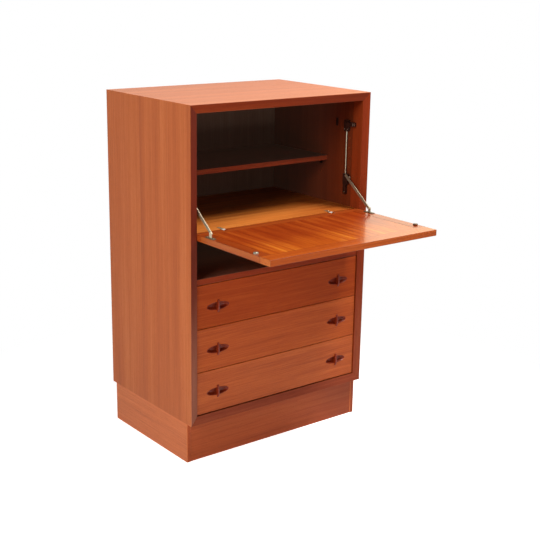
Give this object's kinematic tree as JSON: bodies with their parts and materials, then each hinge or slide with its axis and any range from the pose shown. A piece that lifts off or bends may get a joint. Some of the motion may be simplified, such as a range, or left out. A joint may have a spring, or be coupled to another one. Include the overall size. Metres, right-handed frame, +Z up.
{
  "type": "secretary desk",
  "caption": "Drop-front teak secretary desk: flap on coupled stays opens to a writing surface, shelf behind it, niche and drawers with oval pulls, on a plinth.",
  "frame": {"origin": "on the floor, at the middle of the footprint of the desk with its flap open", "axes": "+Z up; the front, the open flap and the drawers face -Y; +X to the right seen from the back, so to the viewer's right when facing the front"},
  "size_m": [0.7, 0.8262, 1.12],
  "materials": {
    "teak": "oiled teak veneer",
    "teak_fronts": "lacquered teak veneer",
    "drawer_wood": "plain beech",
    "plywood": "plywood",
    "pull_wood": "dark gloss lacquer",
    "steel": "nickel-plated steel",
    "dark_plastic": "dark brown moulded plastic"
  },
  "bodies": {
    "carcase": {"side_left": "teak", "side_right": "teak", "top_board": "teak", "bottom_board": "teak", "back_panel": "plywood", "plinth_front": "teak", "plinth_back": "teak", "plinth_left": "teak", "plinth_right": "teak", "plinth_blocks": "drawer_wood", "desk_board": "teak", "partition_board": "teak", "shelf": "teak", "shelf_supports": "dark_plastic", "wall_clip": "dark_plastic", "drawer_runners": "drawer_wood", "hinge_board_leaves": "steel", "hinge_pins": "steel", "stay_rods": "steel", "stay_upper_brackets": "dark_plastic", "stay_lower_brackets": "dark_plastic", "catch_housings": "dark_plastic", "catch_poles": "steel"},
    "flap": {"flap_front_rail": "teak_fronts", "flap_rear_rail": "teak_fronts", "flap_stile_left": "teak_fronts", "flap_stile_right": "teak_fronts", "flap_panel": "teak_fronts", "flap_pulls": "pull_wood", "hinge_flap_leaves": "steel", "stay_feet": "steel", "catch_discs": "steel"},
    "stay_arm_left": {"stay_arm_left": "steel"},
    "stay_arm_right": {"stay_arm_right": "steel"},
    "stay_slider_left": {"stay_slider_left": "dark_plastic", "stay_knob_left": "steel"},
    "stay_slider_right": {"stay_slider_right": "dark_plastic", "stay_knob_right": "steel"},
    "drawer_lower": {"drawer_lower_front": "teak_fronts", "drawer_lower_side_left": "drawer_wood", "drawer_lower_side_right": "drawer_wood", "drawer_lower_back": "drawer_wood", "drawer_lower_base": "plywood", "drawer_lower_pulls": "pull_wood"},
    "drawer_middle": {"drawer_middle_front": "teak_fronts", "drawer_middle_side_left": "drawer_wood", "drawer_middle_side_right": "drawer_wood", "drawer_middle_back": "drawer_wood", "drawer_middle_base": "plywood", "drawer_middle_pulls": "pull_wood"},
    "drawer_upper": {"drawer_upper_front": "teak_fronts", "drawer_upper_side_left": "drawer_wood", "drawer_upper_side_right": "drawer_wood", "drawer_upper_back": "drawer_wood", "drawer_upper_base": "plywood", "drawer_upper_pulls": "pull_wood"}
  },
  "joints": [
    {"name": "flap_hinge", "type": "hinge", "parent": "carcase", "child": "flap", "pos_m": [0, -0.0469, 0.7265], "axis": [-1, 0, 0], "range_deg": [0, 90]},
    {"name": "stay_arm_left_pivot", "type": "hinge", "parent": "flap", "child": "stay_arm_left", "pos_m": [-0.31295, -0.1187, 0.7496], "axis": [1, 0, 0], "range_deg": [0, 133.64]},
    {"name": "stay_slide_left", "type": "slide", "parent": "carcase", "child": "stay_slider_left", "axis": [0, 0, 1], "range_m": [0, 0.10463]},
    {"name": "stay_arm_right_pivot", "type": "hinge", "parent": "flap", "child": "stay_arm_right", "pos_m": [0.31295, -0.1187, 0.7496], "axis": [1, 0, 0], "range_deg": [0, 133.64]},
    {"name": "stay_slide_right", "type": "slide", "parent": "carcase", "child": "stay_slider_right", "axis": [0, 0, 1], "range_m": [0, 0.10463]},
    {"name": "drawer_lower_slide", "type": "slide", "parent": "carcase", "child": "drawer_lower", "axis": [0, -1, 0], "range_m": [0, 0.33]},
    {"name": "drawer_middle_slide", "type": "slide", "parent": "carcase", "child": "drawer_middle", "axis": [0, -1, 0], "range_m": [0, 0.33]},
    {"name": "drawer_upper_slide", "type": "slide", "parent": "carcase", "child": "drawer_upper", "axis": [0, -1, 0], "range_m": [0, 0.33]}
  ],
  "couplings": [
    {"joint": "stay_arm_left_pivot", "follows": "flap_hinge", "ratio": 1.4847},
    {"joint": "stay_slide_left", "follows": "flap_hinge", "m_per_rad": 0.066598},
    {"joint": "stay_arm_right_pivot", "follows": "flap_hinge", "ratio": 1.4847},
    {"joint": "stay_slide_right", "follows": "flap_hinge", "m_per_rad": 0.066598}
  ]
}
